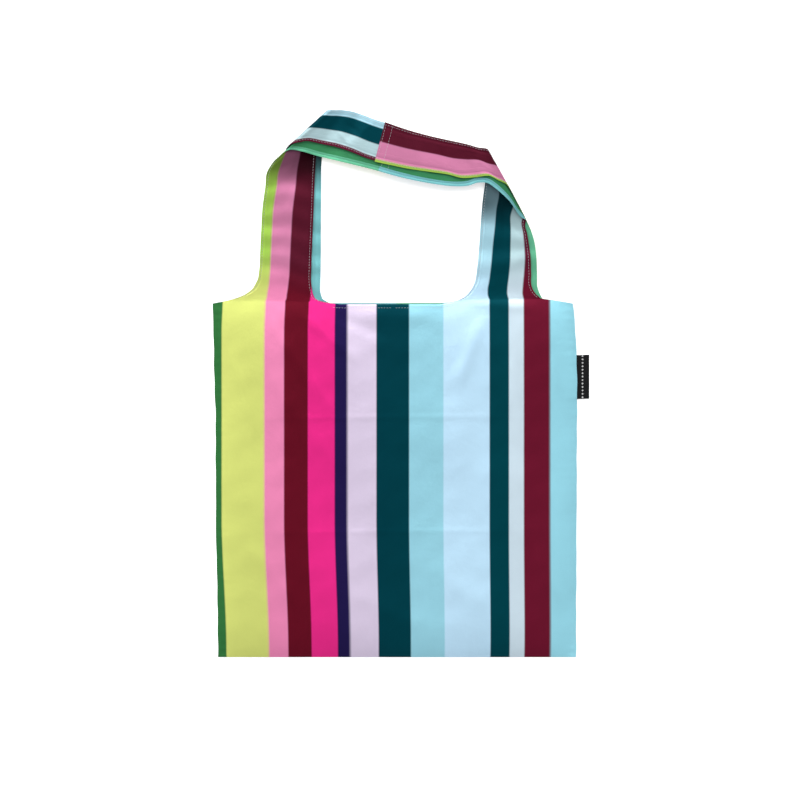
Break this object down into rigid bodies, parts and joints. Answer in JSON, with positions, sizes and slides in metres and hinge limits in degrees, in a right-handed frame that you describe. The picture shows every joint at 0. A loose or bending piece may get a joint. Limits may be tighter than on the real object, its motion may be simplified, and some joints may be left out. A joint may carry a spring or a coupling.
{
  "type": "foldable shopping bag",
  "caption": "Flat-lying foldable shopping bag of vertically striped polyester cloth, with straps cut in one with its panels and lapped at the top.",
  "frame": {"origin": "on the underside of the back panel, at the middle of the bag's body", "axes": "+X across the bag to the side that carries the label, +Y up the bag towards the handle, +Z out of the front panel"},
  "size_m": [0.4127, 0.604, 0.0113],
  "materials": {
    "printed_cloth": "satin polyester, vertical stripes printed on the outside, mint green inside",
    "sewing_thread": "fine polyester thread",
    "woven_label": "matt woven black"
  },
  "bodies": {
    "bag": {"back_panel": "printed_cloth", "front_panel_left": "printed_cloth", "front_panel_right": "printed_cloth", "back_mouth_hem": "printed_cloth", "back_mouth_stitches": "sewing_thread", "side_seam_left": "printed_cloth", "side_seam_right": "printed_cloth", "side_seam_stitches_left": "sewing_thread", "side_seam_stitches_right": "sewing_thread", "bottom_seam": "printed_cloth", "bottom_seam_stitches": "sewing_thread"},
    "mouth": {"front_panel_centre": "printed_cloth", "front_mouth_hem": "printed_cloth", "front_mouth_stitches": "sewing_thread"},
    "handle": {"front_strap_leg_left": "printed_cloth", "front_strap_leg_right": "printed_cloth", "front_strap_corner_left": "printed_cloth", "front_strap_corner_right": "printed_cloth", "front_strap_cross_left": "printed_cloth", "front_strap_cross_right": "printed_cloth", "back_strap_leg_left": "printed_cloth", "back_strap_leg_right": "printed_cloth", "back_strap_corner_left": "printed_cloth", "back_strap_corner_right": "printed_cloth", "back_strap_cross_left": "printed_cloth", "back_strap_cross_right": "printed_cloth", "front_strap_join_stitches": "sewing_thread", "back_strap_join_stitches": "sewing_thread", "front_strap_stitches_left": "sewing_thread", "front_strap_stitches_right": "sewing_thread", "back_strap_stitches_left": "sewing_thread", "back_strap_stitches_right": "sewing_thread"},
    "label": {"woven_label": "woven_label"}
  },
  "joints": [
    {"name": "mouth_lift", "type": "hinge", "parent": "bag", "child": "mouth", "pos_m": [-0.003, -0.1955, 0.00125], "axis": [1, 0, 0], "range_deg": [0, 5]},
    {"name": "handle_lift", "type": "hinge", "parent": "bag", "child": "handle", "pos_m": [0, 0.1995, 0.0012], "axis": [1, 0, 0], "range_deg": [0, 150]},
    {"name": "label_flap", "type": "hinge", "parent": "bag", "child": "label", "pos_m": [0.2002, 0.11375, 0.0006], "axis": [0, -1, 0], "range_deg": [-130, 130]}
  ]
}
